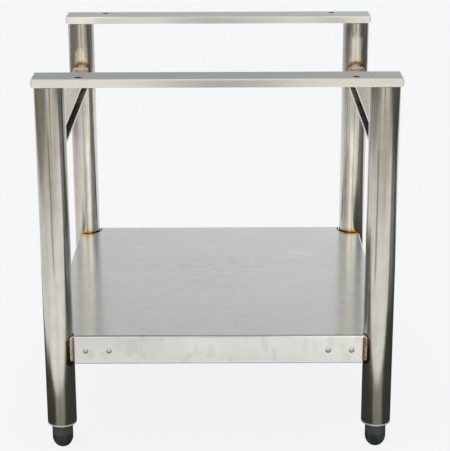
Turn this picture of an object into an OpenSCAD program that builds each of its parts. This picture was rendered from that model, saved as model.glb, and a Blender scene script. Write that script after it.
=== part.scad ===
// Cooking equipment stand: four round tube legs under two folded top rails, two side
// channels, a folded lower shelf on corner angles, and four screw-in levelling feet.
// Millimetres. X is the width, the front faces -Y, Z is up from the floor.

/* [Overall] */
// Height from the floor to the top of the rails, with the feet screwed in
stand_h = 660; // [560:5:900]
// Distance between the leg axes across the front
leg_pitch_x = 548; // [500:2:900]
// Distance between the leg axes from front to back
leg_pitch_y = 570; // [460:2:800]

/* [Legs] */
// Outside diameter of the leg tube
leg_od = 50.8; // [46:0.1:60]
// Wall of the leg tube
leg_wall = 1.5; // [1.2:0.1:2.5]

/* [Top rails] */
// Height of the rail's folded flanges
rail_h = 14; // [11:0.5:40]
// Sheet thickness of the rails
rail_sheet = 1.2; // [1:0.1:2]
// Gap between a leg and the rail's long flanges
rail_side_gap = 1.4; // [0.4:0.1:5]
// Gap between a leg and the rail's end wall
rail_end_gap = 0.4; // [0.3:0.1:4]
// Outside radius of the rail's folds
rail_fold_r = 2.4; // [2.2:0.1:3.5]
// Radius of the lower corners at the rail's ends
rail_corner_r = 4; // [2:0.5:6]
// Diameter of the holes that take the equipment's fixing bolts
hole_d = 12; // [8:0.5:14]
// Distance from a leg's axis in to the fixing hole beside it
hole_in = 49; // [40:0.5:120]
// How far the fixing holes lie outside the leg axes
hole_out = 13; // [0:0.5:14]

/* [Side rails] */
// Width of the side channel, web to open edge
side_w = 30; // [22:1:38]
// Height of the side channel
side_h = 36; // [26:1:60]
// Sheet thickness of the side channel
side_sheet = 1.5; // [1.2:0.1:2]
// Clear height between the side channel and the top rails
side_drop = 91.5; // [60:0.5:140]
// Outside radius of the side channel's folds
side_fold_r = 3; // [2.5:0.5:5]
// Thickness of the closed hem on each open edge
hem_t = 3.4; // [3:0.1:4.5]
// Length of the closed hem
hem_len = 8; // [6:0.5:10]
// Width of the flat between a hem's two round edges
hem_flat = 0.1; // [0.1:0.1:1]

/* [Shelf] */
// Height of the shelf's top face above the floor
shelf_z = 210; // [170:5:330]
// How far the shelf's skirts lie outside the leg axes
shelf_over = 14.5; // [8:0.5:18]
// Depth of the folded skirts
skirt_h = 52; // [46:1:80]
// Sheet thickness of the shelf
shelf_sheet = 1.5; // [1.2:0.1:2]
// Outside radius of the shelf's folds
shelf_fold_r = 3; // [2.5:0.5:5]
// Width of the return lip under each skirt
lip_w = 12; // [8:1:16]
// Gap between a leg and the round notch in the shelf's top
notch_gap = 2.6; // [1.5:0.1:5]
// Gap between a leg and the end of a skirt, along the skirt
skirt_gap = 2.1; // [1:0.1:5]

/* [Shelf stiffener] */
// Width of the stiffener's crown
crown_w = 42; // [30:1:60]
// Depth of the stiffener
crown_h = 22; // [15:1:30]
// Width of each welding flange
crown_flange = 15; // [10:1:25]
// Sheet thickness of the stiffener
crown_sheet = 1.2; // [1:0.1:2]
// Clearance between the stiffener's ends and the side skirts
crown_end_gap = 14; // [12:1:60]

/* [Shelf brackets] */
// Thickness of the corner angles
bracket_t = 3; // [2:0.5:4]
// Clearance between the angle's lower edge and the skirt's return lip
bracket_lip_gap = 3; // [1:0.5:8]
// Depth of the angle's flat flange under the shelf
bracket_flat = 30; // [20:1:36]
// Distance from the last screw to the angle's end
bracket_end = 12; // [8:1:20]
// Radius of the angle's free corners
bracket_r = 5; // [2:1:7]
// How much rounder the angle's bend is than the inside of the shelf's fold
bracket_fold_clear = 0.5; // [0.2:0.1:1]

/* [Shelf screws] */
// Thread diameter of the screws
screw_d = 5; // [4:0.5:6]
// Diameter of the button head
head_d = 9.5; // [8.5:0.5:12]
// Height of the button head
head_h = 2.7; // [2:0.1:4]
// Width across the flats of the socket in the head
socket_af = 3; // [2.5:0.5:3.5]
// Width across the flats of the nut
nut_af = 9; // [8:0.5:10]
// Height of the lock nut
nut_h = 5; // [4:0.5:6]
// Length of screw that stands out of the nut
screw_end = 1.5; // [0.5:0.5:4]
// Distance from the skirt's end to the first screw
screw_in = 18.5; // [12:0.5:30]
// Distance between the two screws of one angle
screw_pitch = 40; // [25:1:60]
// Distance from the shelf's top face down to the screws
screw_down = 27.5; // [20:0.5:30]
// Clearance all round a screw in its hole
screw_clear = 0.25; // [0.1:0.05:0.5]
// Gap all round a screw in its nut
nut_play = 0.05; // [0.05:0.01:0.1]

/* [Feet] */
// Diameter of the foot
foot_d = 36; // [30:1:42]
// Height of the foot
foot_h = 43.7; // [36:0.1:60]
// Diameter of the foot's flat underside
foot_flat_d = 19; // [14:1:24]
// Height of the foot's rounded lower part
foot_round_h = 17; // [12:1:22]
// Depth of the fine groove round the foot
foot_groove = 0.6; // [0.3:0.1:1]
// Radius of the foot's upper edge
foot_top_r = 1.2; // [0.5:0.1:2]
// Thread diameter of the foot's stud
stud_d = 12; // [10:1:16]
// Chamfer on the stud's upper end
stud_chamfer = 1; // [0.5:0.1:2]
// How far the foot can be screwed out
foot_travel = 25; // [15:1:35]
// Depth of the stud in the foot
stud_seat = 28; // [20:1:34]
// Thread left in the insert with the foot screwed out
stud_engage = 20; // [15:1:30]

/* [Foot inserts] */
// Thickness of the insert's flange under the tube
insert_flange = 3; // [2:0.5:5]
// Length of the insert's sleeve in the tube
insert_len = 35; // [25:1:50]
// Wall of the insert's sleeve
insert_wall = 2.2; // [1.5:0.1:3]
// Diameter of the insert's threaded boss
boss_d = 22; // [20:1:28]
// Thickness of the ribs between boss and sleeve
rib_t = 2.5; // [2:0.5:4]

/* [Fits] */
// Play between the insert's sleeve and the tube
insert_play = 0.25; // [0.1:0.05:0.5]
// Play between the stud and the insert's thread
stud_play = 0.35; // [0.3:0.05:0.6]
// Play between the foot and the insert's flange
foot_play = 0.3; // [0.3:0.1:1]
// Gap left at a welded joint round a tube
weld_gap = 0.15; // [0.05:0.05:0.5]

/* [Welds] */
// Size of the fillets on the side channels
side_bead = 2.6; // [1.5:0.1:3.5]
// Size of the fillets on the corner angles
bracket_bead = 2.6; // [1.5:0.1:3]
// Radius of the welds under the top rails
rail_bead = 1.8; // [1.5:0.1:2.5]
// Angle round the leg that each of those welds spans
rail_bead_span = 30; // [20:1:60]

/* [Hidden] */

$fn = 64;
// Overrun that lets a cut clear a face
eps = 1;
// Gap between a weld and the leg it lies on
bead_seat = 0.02;
// Gap between a stud and the foot moulded round it
stud_seat_play = 0.05;

steel = "#c9c7c0";
steel_dark = "#a9a8a2";
bead_tint = "#8a6a4c";
zinc = "#b9bcc0";
nylon = "#23282d";

leg_r = leg_od / 2;
leg_x = leg_pitch_x / 2;
leg_y = leg_pitch_y / 2;
insert_z = foot_h + foot_play;
leg_z = insert_z + insert_flange;

rail_len = leg_pitch_x + leg_od + 2 * (rail_sheet + rail_end_gap);
rail_w = leg_od + 2 * (rail_sheet + rail_side_gap);
rail_z = stand_h - rail_h;

side_top = rail_z - side_drop;
side_z = side_top - side_h;

shelf_x = leg_x + shelf_over;
shelf_y = leg_y + shelf_over;
skirt_x = leg_x - leg_r - skirt_gap;
skirt_y = leg_y - leg_r - skirt_gap;
under_z = shelf_z - shelf_sheet;

first_screw_x = skirt_x - screw_in;
last_screw_x = first_screw_x - screw_pitch;
screw_z = shelf_z - screw_down;
bracket_y = shelf_y - shelf_sheet;
bracket_x = last_screw_x - bracket_end;
bracket_h = skirt_h - 2 * shelf_sheet - bracket_lip_gap;
bracket_fold_r = shelf_fold_r - shelf_sheet + bracket_fold_clear;

insert_r = leg_r - leg_wall - insert_play;

// Flat shapes

// Rectangle standing on the X axis, with its upper corners rounded, and its lower ones too
// where a radius is given for them
module round_plate(w, h, r_top, r_low = 0) {
    difference() {
        translate([-w / 2, 0]) square([w, h]);
        for (s = [-1, 1]) {
            translate([s * w / 2, h]) rotate(s > 0 ? 180 : 270) corner_waste(r_top);
            if (r_low > 0) translate([s * w / 2, 0]) rotate(s > 0 ? 90 : 0) corner_waste(r_low);
        }
    }
}

// What a rounded corner at the origin takes away from the first quadrant
module corner_waste(r) {
    difference() {
        translate([-eps, -eps]) square(r + eps);
        translate([r, r]) circle(r);
    }
}

// Rectangle on centre with four equal round corners
module round_rect(w, h, r) {
    translate([0, -h / 2]) round_plate(w, h, r, r);
}

// Section of a folded edge: top sheet, skirt and return lip, with its outer top corner
// at the origin and the shelf towards -X
module folded_edge(depth, sheet, r, lip, reach) {
    difference() {
        translate([-reach, -depth]) half_round(reach, depth, r);
        translate([-reach - eps, sheet - depth])
            half_round(reach + eps - sheet, depth - 2 * sheet, r - sheet);
        translate([-reach - eps, -depth - eps]) square([reach + eps - lip, depth + eps - sheet]);
    }
}

// Rectangle from the origin with its two right-hand corners rounded
module half_round(w, h, r) {
    difference() {
        square([w, h]);
        translate([w, h]) rotate(180) corner_waste(r);
        translate([w, 0]) rotate(90) corner_waste(r);
    }
}

// Section of the side channel: web at X = 0, open towards +X, closed hems on both edges
module side_section() {
    difference() {
        translate([side_w - hem_t, 0]) mirror([1, 0]) half_round(side_w - hem_t, side_h, side_fold_r);
        translate([side_w, side_sheet]) mirror([1, 0])
            half_round(side_w - side_sheet, side_h - 2 * side_sheet, side_fold_r - side_sheet);
    }
    for (z = [0, side_h - hem_t])
        translate([side_w - hem_len, z]) half_round(hem_len, hem_t, (hem_t - hem_flat) / 2);
}

// Placing

module at_leg(sx, sy) {
    translate([sx * leg_x, sy * leg_y, 0]) children();
}

module at_all_legs() {
    for (sx = [-1, 1], sy = [-1, 1]) at_leg(sx, sy) children();
}

// Each screw of the shelf, with its own +Z axis pointing out of the skirt at the skirt's face
module at_screws() {
    for (sx = [-1, 1], sy = [-1, 1], x = [first_screw_x, last_screw_x])
        translate([sx * x, sy * shelf_y, screw_z]) rotate([-sy * 90, 0, 0]) children();
}

// Frame

module leg(sx, sy) {
    color(steel) at_leg(sx, sy) translate([0, 0, leg_z]) difference() {
        cylinder(h = stand_h - rail_sheet - leg_z, r = leg_r);
        translate([0, 0, -eps]) cylinder(h = stand_h, r = leg_r - leg_wall);
    }
}

// Block with round upper edges and round upright edges, and with round lower corners at
// its ends where a radius is given for them
module rail_block(l, w, h, r, end_r = 0) {
    intersection() {
        rotate([90, 0, 90]) translate([0, 0, -l / 2]) linear_extrude(l) round_plate(w, h, r);
        rotate([90, 0, 0]) translate([0, 0, -w / 2]) linear_extrude(w) round_plate(l, h, r, end_r);
        linear_extrude(h) round_rect(l, w, r);
    }
}

// Folded channel over two legs, open below, its ends closed and welded
module top_rail(sy) {
    color(steel) translate([0, sy * leg_y, rail_z]) difference() {
        rail_block(rail_len, rail_w, rail_h, rail_fold_r, rail_corner_r);
        translate([0, 0, -rail_h])
            rail_block(rail_len - 2 * rail_sheet, rail_w - 2 * rail_sheet, 2 * rail_h - rail_sheet,
                rail_fold_r - rail_sheet);
        for (sx = [-1, 1])
            translate([sx * (leg_x - hole_in), sy * hole_out, -eps])
                cylinder(h = rail_h + 2 * eps, d = hole_d);
    }
}

module side_rail(sx) {
    color(steel) difference() {
        translate([sx * (leg_x + side_w / 2), leg_y, side_z]) mirror([sx > 0 ? 1 : 0, 0, 0])
            rotate([90, 0, 0]) linear_extrude(leg_pitch_y) side_section();
        for (sy = [-1, 1])
            at_leg(sx, sy) translate([0, 0, side_z - eps])
                cylinder(h = side_h + 2 * eps, r = leg_r + weld_gap);
    }
}

// Shelf

// Folded edge laid along X at the front, its outer top corner on the shelf's edge line
module skirt(run, edge) {
    translate([-run, -edge, shelf_z]) rotate([90, 0, 90]) mirror([1, 0, 0])
        linear_extrude(2 * run)
            folded_edge(skirt_h, shelf_sheet, shelf_fold_r, lip_w, lip_w + 2 * shelf_fold_r);
}

module shelf_pan() {
    inset = shelf_fold_r;
    color(steel) difference() {
        union() {
            translate([inset - shelf_x, inset - shelf_y, under_z])
                cube([2 * (shelf_x - inset), 2 * (shelf_y - inset), shelf_sheet]);
            for (a = [0, 180]) rotate(a) skirt(skirt_x, shelf_y);
            for (a = [90, 270]) rotate(a) skirt(skirt_y, shelf_x);
        }
        at_all_legs() translate([0, 0, under_z - eps])
            cylinder(h = shelf_sheet + 2 * eps, r = leg_r + notch_gap);
        at_screws() translate([0, 0, -shelf_sheet - eps])
            cylinder(h = shelf_sheet + 2 * eps, d = screw_d + 2 * screw_clear);
    }
}

module shelf_stiffener() {
    run = shelf_x - shelf_sheet - crown_end_gap;
    foot_w = crown_w + 2 * (crown_flange - crown_sheet);
    color(steel_dark) translate([-run, 0, under_z]) rotate([90, 0, 90]) linear_extrude(2 * run) {
        difference() {
            translate([-crown_w / 2, -crown_h]) square([crown_w, crown_h]);
            translate([crown_sheet - crown_w / 2, crown_sheet - crown_h])
                square([crown_w - 2 * crown_sheet, crown_h]);
        }
        difference() {
            translate([-foot_w / 2, -crown_sheet]) square([foot_w, crown_sheet]);
            translate([crown_sheet - crown_w / 2, -crown_sheet - eps])
                square([crown_w - 2 * crown_sheet, crown_sheet + 2 * eps]);
        }
    }
}

// Section of the corner angle: its outer corner at the origin, upright below it, flat
// flange towards +X
module angle_section() {
    difference() {
        union() {
            translate([0, -bracket_h]) square([bracket_t, bracket_h]);
            translate([0, -bracket_t]) square([bracket_flat, bracket_t]);
        }
        rotate(270) corner_waste(bracket_fold_r);
    }
}

// Corner angle: upright flange behind the skirt, flat flange under the shelf, and an end
// coped to the round of the leg; drawn for the front left corner and mirrored
module shelf_bracket(sx, sy) {
    color(steel_dark) mirror([sx > 0 ? 1 : 0, 0, 0]) mirror([0, sy > 0 ? 1 : 0, 0]) difference() {
        translate([-leg_x, -bracket_y, under_z]) rotate([90, 0, 90])
            linear_extrude(leg_x - bracket_x) angle_section();
        translate([-bracket_x, eps + bracket_t - bracket_y, under_z - bracket_h])
            rotate([90, 0, 0]) linear_extrude(bracket_t + 2 * eps)
                mirror([1, 0, 0]) corner_waste(bracket_r);
        translate([-bracket_x, bracket_flat - bracket_y, under_z - bracket_t - eps])
            linear_extrude(bracket_t + 2 * eps) rotate(180) corner_waste(bracket_r);
        at_leg(-1, -1) translate([0, 0, under_z - bracket_h - eps])
            cylinder(h = bracket_h + 2 * eps, r = leg_r + weld_gap);
        at_screws() translate([0, 0, -shelf_sheet - bracket_t - eps])
            cylinder(h = bracket_t + 2 * eps, d = screw_d + 2 * screw_clear);
    }
}

// Fasteners

// Button head screw with its bearing face at Z = 0 and its head up
module button_screw() {
    dome_r = (pow(head_d / 2, 2) + pow(head_h, 2)) / (2 * head_h);
    grip = shelf_sheet + bracket_t + nut_h + screw_end;
    difference() {
        union() {
            intersection() {
                cylinder(h = head_h, d = head_d);
                translate([0, 0, head_h - dome_r]) sphere(r = dome_r);
            }
            translate([0, 0, -grip]) cylinder(h = grip + eps, d = screw_d);
        }
        translate([0, 0, head_h / 2]) cylinder(h = head_h, d = socket_af / cos(30), $fn = 6);
    }
}

module shelf_screws() {
    color(zinc) at_screws() button_screw();
}

module shelf_nuts() {
    color(zinc) at_screws() translate([0, 0, -shelf_sheet - bracket_t - nut_h]) difference() {
        cylinder(h = nut_h, d = nut_af / cos(30), $fn = 6);
        translate([0, 0, -eps]) cylinder(h = nut_h + 2 * eps, d = screw_d + 2 * nut_play);
    }
}

// Welds

// Quarter round fillet swept part way round a leg, centred on the +X side, on top of a face
module ring_bead(size, half_angle) {
    rotate(-half_angle) rotate_extrude(angle = 2 * half_angle) translate([leg_r + bead_seat, 0])
        intersection() {
            circle(size);
            square(size + eps);
        }
}

// Upright fillet where a flat face at offset Y from the leg's axis runs into the leg's +X side
module upright_bead(size, offset_y, h) {
    difference() {
        translate([sqrt(pow(leg_r, 2) - pow(offset_y, 2)), offset_y, 0]) cylinder(h = h, r = size);
        translate([0, 0, -eps]) cylinder(h = h + 2 * eps, r = leg_r + bead_seat);
        translate([0, offset_y - 2 * leg_od, -eps]) cube([2 * leg_od, 2 * leg_od, h + 2 * eps]);
    }
}

module side_rail_welds() {
    half_angle = asin(side_w / 2 / leg_r);
    color(bead_tint) for (sx = [-1, 1], sy = [-1, 1]) at_leg(sx, sy) rotate(-sy * 90) {
        translate([0, 0, side_top]) ring_bead(side_bead, half_angle);
        translate([0, 0, side_z]) mirror([0, 0, 1]) ring_bead(side_bead, half_angle);
        translate([0, 0, side_z]) mirror([0, sx * sy > 0 ? 0 : 1, 0])
            upright_bead(side_bead, side_w / 2, side_h);
    }
}

module top_rail_welds() {
    half_angle = rail_bead_span / 2;
    color(bead_tint) at_all_legs() for (a = [90, 270]) translate([0, 0, rail_z]) rotate(a)
        difference() {
            rotate(-half_angle) rotate_extrude(angle = 2 * half_angle)
                translate([leg_r + rail_side_gap / 2, 0]) circle(rail_bead);
            translate([0, 0, -rail_h]) cylinder(h = 2 * rail_h, r = leg_r + bead_seat);
            translate([leg_r + rail_side_gap, -leg_r, 0]) cube([leg_r, leg_od, rail_h]);
        }
}

module shelf_bracket_welds() {
    color(bead_tint) for (sx = [-1, 1], sy = [-1, 1]) at_leg(sx, sy)
        translate([0, 0, under_z - bracket_h]) mirror([sx > 0 ? 1 : 0, 0, 0])
            mirror([0, sy > 0 ? 0 : 1, 0])
                upright_bead(bracket_bead, bracket_y - leg_y, bracket_h);
}

// Feet

// Insert in the end of a leg: flange, sleeve, floor, and a threaded boss on four ribs
module foot_insert(sx, sy) {
    top = insert_flange + insert_len;
    color(zinc) at_leg(sx, sy) translate([0, 0, insert_z]) difference() {
        union() {
            cylinder(h = insert_flange, r = leg_r - insert_play);
            cylinder(h = top, r = insert_r);
        }
        translate([0, 0, insert_flange]) difference() {
            cylinder(h = top, r = insert_r - insert_wall);
            translate([0, 0, -eps]) cylinder(h = top + 2 * eps, d = boss_d);
            for (a = [0, 90])
                rotate(a) translate([-leg_r, -rib_t / 2, -eps]) cube([leg_od, rib_t, top + 2 * eps]);
        }
        translate([0, 0, -eps]) cylinder(h = top + 2 * eps, r = stud_d / 2 + stud_play);
    }
}

// Stud moulded into the foot and screwed into the insert
module foot_stud(sx, sy) {
    low = foot_h - stud_seat;
    top = insert_z + stud_engage + foot_travel;
    r = stud_d / 2;
    color(zinc) at_leg(sx, sy) rotate_extrude()
        polygon([[0, low], [r, low], [r, top - stud_chamfer], [r - stud_chamfer, top], [0, top]]);
}

// Black bullet foot: straight above a fine groove, then one arc in to the flat underside
module foot(sx, sy) {
    r = foot_d / 2;
    draw_in = r - foot_flat_d / 2;
    arc_r = (pow(draw_in, 2) + pow(foot_round_h, 2)) / (2 * draw_in);
    color(nylon) at_leg(sx, sy) difference() {
        rotate_extrude() difference() {
            square([r, foot_h]);
            translate([r, foot_h]) rotate(180) corner_waste(foot_top_r);
            difference() {
                translate([0, -eps]) square([r + eps, foot_round_h + eps]);
                translate([r - arc_r, foot_round_h]) circle(arc_r);
            }
            translate([r, foot_round_h + foot_groove]) circle(foot_groove);
        }
        translate([0, 0, foot_h - stud_seat])
            cylinder(h = stud_seat + eps, r = stud_d / 2 + stud_seat_play);
    }
}

leg(-1, -1);  // leg_front_left
leg(1, -1);  // leg_front_right
leg(-1, 1);  // leg_back_left
leg(1, 1);  // leg_back_right
top_rail(-1);  // top_rail_front
top_rail(1);  // top_rail_back
side_rail(-1);  // side_rail_left
side_rail(1);  // side_rail_right
shelf_pan();
shelf_stiffener();
shelf_bracket(-1, -1);  // shelf_bracket_front_left
shelf_bracket(1, -1);  // shelf_bracket_front_right
shelf_bracket(-1, 1);  // shelf_bracket_back_left
shelf_bracket(1, 1);  // shelf_bracket_back_right
shelf_screws();
shelf_nuts();
top_rail_welds();
side_rail_welds();
shelf_bracket_welds();
foot_insert(-1, -1);  // foot_insert_front_left
foot_insert(1, -1);  // foot_insert_front_right
foot_insert(-1, 1);  // foot_insert_back_left
foot_insert(1, 1);  // foot_insert_back_right
foot_stud(-1, -1);  // foot_stud_front_left
foot_stud(1, -1);  // foot_stud_front_right
foot_stud(-1, 1);  // foot_stud_back_left
foot_stud(1, 1);  // foot_stud_back_right
foot(-1, -1);  // foot_front_left
foot(1, -1);  // foot_front_right
foot(-1, 1);  // foot_back_left
foot(1, 1);  // foot_back_right
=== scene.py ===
"""Looks of the cooking equipment stand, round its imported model: brushed and drawn stainless
steel with heat tints, rippled welds, threaded studs and moulded feet. Metres, in the model's
frame: X runs along the top rails, the front faces -Y, and Z is up from the floor."""

import math
from random import Random

import bpy
from mathutils import Matrix, Vector


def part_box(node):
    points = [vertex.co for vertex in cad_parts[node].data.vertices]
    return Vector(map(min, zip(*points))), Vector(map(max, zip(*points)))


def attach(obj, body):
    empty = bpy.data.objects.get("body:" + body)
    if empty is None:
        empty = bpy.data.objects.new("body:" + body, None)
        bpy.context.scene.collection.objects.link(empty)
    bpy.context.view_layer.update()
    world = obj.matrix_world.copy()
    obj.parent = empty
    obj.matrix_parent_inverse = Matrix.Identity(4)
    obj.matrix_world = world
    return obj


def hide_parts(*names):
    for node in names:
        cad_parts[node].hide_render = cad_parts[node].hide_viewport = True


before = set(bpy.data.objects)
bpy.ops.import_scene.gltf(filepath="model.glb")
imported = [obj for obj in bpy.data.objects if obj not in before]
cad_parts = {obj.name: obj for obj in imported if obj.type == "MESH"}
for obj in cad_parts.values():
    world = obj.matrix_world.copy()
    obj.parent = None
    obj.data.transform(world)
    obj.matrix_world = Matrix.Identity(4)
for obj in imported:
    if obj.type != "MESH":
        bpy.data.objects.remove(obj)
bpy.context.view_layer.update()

SIDES = {"left": -1, "right": 1}
ENDS = {"front": -1, "back": 1}
CORNERS = [(f"{end}_{side}", SIDES[side], ENDS[end]) for end in ENDS for side in SIDES]
MM = 0.001

# Camera, as fitted to the photograph's edges
PHOTO_WIDTH_PX = 450
FOCAL_PX = 1496.3
SENSOR_MM = 36
CAMERA_AT = Vector((0.0125, -2.6721, 1.1793))
CAMERA_YAW = math.radians(0.016)
CAMERA_PITCH = math.radians(18.007)
CAMERA_ROLL = math.radians(-0.199)


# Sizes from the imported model

def centre(node):
    low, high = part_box(node)
    return (low + high) / 2


def leg_axis(corner):
    """The leg's axis as a point on the floor."""
    c = centre("leg_" + corner)
    return Vector((c.x, c.y, 0))


LEG_R = (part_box("leg_front_left")[1].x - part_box("leg_front_left")[0].x) / 2
RAIL_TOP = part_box("top_rail_front")[1].z
RAIL_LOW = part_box("top_rail_front")[0].z
SIDE_LOW, SIDE_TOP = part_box("side_rail_left")[0].z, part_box("side_rail_left")[1].z
SHELF_LOW, SHELF_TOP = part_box("shelf_pan")[0].z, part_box("shelf_pan")[1].z
SHELF_X, SHELF_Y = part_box("shelf_pan")[1].x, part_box("shelf_pan")[1].y
LEG_X, LEG_Y = leg_axis("back_right").x, leg_axis("back_right").y


# Camera, floor and light

def make_camera():
    right = Vector((math.cos(CAMERA_YAW), math.sin(CAMERA_YAW), 0))
    ahead = Vector((-math.sin(CAMERA_YAW) * math.cos(CAMERA_PITCH),
                    math.cos(CAMERA_YAW) * math.cos(CAMERA_PITCH), -math.sin(CAMERA_PITCH)))
    up = right.cross(ahead)
    rolled_right = right * math.cos(CAMERA_ROLL) + up * math.sin(CAMERA_ROLL)
    rolled_up = up * math.cos(CAMERA_ROLL) - right * math.sin(CAMERA_ROLL)
    data = bpy.data.cameras.new("camera")
    data.sensor_fit = "HORIZONTAL"
    data.sensor_width = SENSOR_MM
    data.lens = FOCAL_PX / PHOTO_WIDTH_PX * SENSOR_MM
    camera = bpy.data.objects.new("camera", data)
    camera.matrix_world = (Matrix.Translation(CAMERA_AT)
                           @ Matrix((rolled_right, rolled_up, -ahead)).transposed().to_4x4())
    bpy.context.scene.collection.objects.link(camera)
    bpy.context.scene.camera = camera


make_camera()


# Node trees

class Shader:
    """A node tree written as calls, each of which returns an output socket."""

    def __init__(self, tree):
        self.tree = tree
        tree.nodes.clear()

    def node(self, kind, inputs=None, **settings):
        node = self.tree.nodes.new("ShaderNode" + kind)
        for name, value in settings.items():
            setattr(node, name, value)
        for name, value in (inputs or {}).items():
            self.feed(node.inputs[name], value)
        return node

    def feed(self, socket, value):
        if isinstance(value, bpy.types.NodeSocket):
            self.tree.links.new(value, socket)
        elif socket.type == "RGBA":
            socket.default_value = (*value, 1)
        else:
            socket.default_value = value

    def show(self, surface, output="OutputMaterial"):
        self.tree.links.new(surface, self.node(output).inputs["Surface"])

    def principled(self, inputs):
        self.show(self.node("BsdfPrincipled", inputs).outputs[0])

    def parts(self, point):
        """The X, Y and Z of a point."""
        return self.node("SeparateXYZ", {0: point}).outputs

    def math(self, operation, *values):
        return self.node("Math", dict(enumerate(values)), operation=operation).outputs[0]

    def vector(self, operation, *values):
        node = self.node("VectorMath", dict(enumerate(values)), operation=operation)
        return node.outputs["Value" if operation in ("LENGTH", "DOT_PRODUCT") else "Vector"]

    def stretch(self, point, scale, offset=(0, 0, 0)):
        """point scaled for a noise. Different offsets keep its patterns apart."""
        return self.vector("MULTIPLY_ADD", point, scale, offset)

    def noise(self, point, detail=2.0, roughness=0.5):
        """Noise about 0.5 whose features are as large as one unit of point."""
        node = self.node("TexNoise", {"Vector": point, "Scale": 1.0, "Detail": detail,
                                      "Roughness": roughness})
        return node.outputs["Fac"]

    def swing(self, noise, width):
        """Noise about 0 of that width."""
        return self.math("MULTIPLY", self.math("SUBTRACT", noise, 0.5), width)

    def map(self, value, low, high, to_low=0.0, to_high=1.0, smooth=False):
        """value carried from low..high to to_low..to_high, and held there."""
        node = self.node("MapRange", {"Value": value, "From Min": low, "From Max": high,
                                      "To Min": to_low, "To Max": to_high},
                         interpolation_type="SMOOTHSTEP" if smooth else "LINEAR")
        return node.outputs[0]

    def step(self, value, low, high):
        """Smooth step from 0 at low to 1 at high."""
        return self.map(value, low, high, smooth=True)

    def both(self, *masks):
        """The product of masks."""
        product = masks[0]
        for mask in masks[1:]:
            product = self.math("MULTIPLY", product, mask)
        return product

    def away(self, value, middle):
        """Distance of a number from middle."""
        return self.math("ABSOLUTE", self.math("SUBTRACT", value, middle))

    def ramp(self, value, stops):
        """Colour by value, from a list of (place, colour)."""
        node = self.node("ValToRGB", {"Fac": value})
        elements = node.color_ramp.elements
        while len(elements) > 1:
            elements.remove(elements[-1])
        for i, (place, colour) in enumerate(stops):
            element = elements[0] if i == 0 else elements.new(place)
            element.position = place
            element.color = (*colour, 1)
        return node.outputs["Color"]

    def mix(self, factor, a, b, blend="MIX"):
        """Colours a and b mixed. Where one is the same all over, the other one varies."""
        inputs = {0: factor, 6: a, 7: b}
        return self.node("Mix", inputs, data_type="RGBA", blend_type=blend).outputs[2]

    def times(self, a, b):
        return self.mix(1.0, a, b, "MULTIPLY")

    def tint(self, mask, colour, gain):
        """colour multiplied by gain where the mask is 1."""
        return self.mix(mask, colour, self.times(colour, gain))

    def grey(self, value):
        return self.node("CombineXYZ", {0: value, 1: value, 2: value}).outputs[0]


def new_material(name):
    material = bpy.data.materials.new(name)
    material.use_nodes = True
    return material, Shader(material.node_tree)


def card_material(name, tone, mask_of=None):
    """Material that gives off a tone: a colour, or what tone(shader, x, y, z) says. It is clear
    where mask_of is 0."""
    material, s = new_material(name)
    at = s.parts(s.node("NewGeometry").outputs["Position"])
    place = (at["X"], at["Y"], at["Z"])
    colour = tone(s, *place) if callable(tone) else tone
    surface = s.node("Emission", {"Color": colour, "Strength": 1.0}).outputs[0]
    if mask_of:
        clear = s.node("BsdfTransparent").outputs[0]
        surface = s.node("MixShader", {0: mask_of(s, *place), 1: clear, 2: surface}).outputs[0]
    s.show(surface)
    return material


# Stage

BACKGROUND = (0.922, 0.930, 0.939)
FLOOR_SIZE = 40.0
FLOOR_COLOUR = (0.90, 0.905, 0.91)
# Share of the floor's colour in the camera's view that is the even backdrop
FLOOR_EVENNESS = 0.93
WORLD_LIGHT = 0.85
KEY_TOWARD = (0.35, 0.45, -1)
KEY_SPREAD_DEG = 50
KEY_STRENGTH = 0.5


def add_object(name, points, faces, material):
    mesh = bpy.data.meshes.new(name)
    mesh.from_pydata(points, [], faces)
    mesh.materials.append(material)
    piece = bpy.data.objects.new(name, mesh)
    bpy.context.scene.collection.objects.link(piece)
    return piece


def flat_object(name, corners, material):
    piece = add_object(name, [Vector(c) for c in corners], [range(len(corners))], material)
    return piece


def level_corners(x0, y0, x1, y1, z):
    return [(x0, y0, z), (x1, y0, z), (x1, y1, z), (x0, y1, z)]


def upright_corners(x0, y0, x1, y1, z0, z1):
    return [(x0, y0, z0), (x1, y1, z0), (x1, y1, z1), (x0, y0, z1)]


def make_floor():
    """Pale floor that keeps a soft shadow. The camera sees part of it as an even backdrop,
    and sees through it from below."""
    material, s = new_material("floor")
    lit = s.node("BsdfDiffuse", {"Color": FLOOR_COLOUR}).outputs[0]
    even = s.node("Emission", {"Color": BACKGROUND, "Strength": 1.0}).outputs[0]
    seen = s.node("LightPath").outputs["Is Camera Ray"]
    above = s.node("MixShader", {0: s.math("MULTIPLY", seen, FLOOR_EVENNESS), 1: lit, 2: even})
    below = s.node("BsdfTransparent").outputs[0]
    surface = s.node("MixShader", {0: s.node("NewGeometry").outputs["Backfacing"],
                                   1: above.outputs[0], 2: below})
    s.show(surface.outputs[0])
    half = FLOOR_SIZE / 2
    flat_object("floor", level_corners(-half, -half, half, half, 0), material)


def make_world():
    """Pale surroundings for the camera and in the steel, and a plain level of light."""
    world = bpy.data.worlds.new("studio")
    world.use_nodes = True
    s = Shader(world.node_tree)
    path = s.node("LightPath").outputs
    seen = s.math("MAXIMUM", path["Is Camera Ray"],
                  s.math("MAXIMUM", path["Is Glossy Ray"], path["Is Transmission Ray"]))
    light = s.node("Background", {"Color": (1, 1, 1), "Strength": WORLD_LIGHT}).outputs[0]
    backdrop = s.node("Background", {"Color": BACKGROUND, "Strength": 1.0}).outputs[0]
    both = s.node("MixShader", {0: seen, 1: light, 2: backdrop}).outputs[0]
    s.show(both, "OutputWorld")
    bpy.context.scene.world = world


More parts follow.
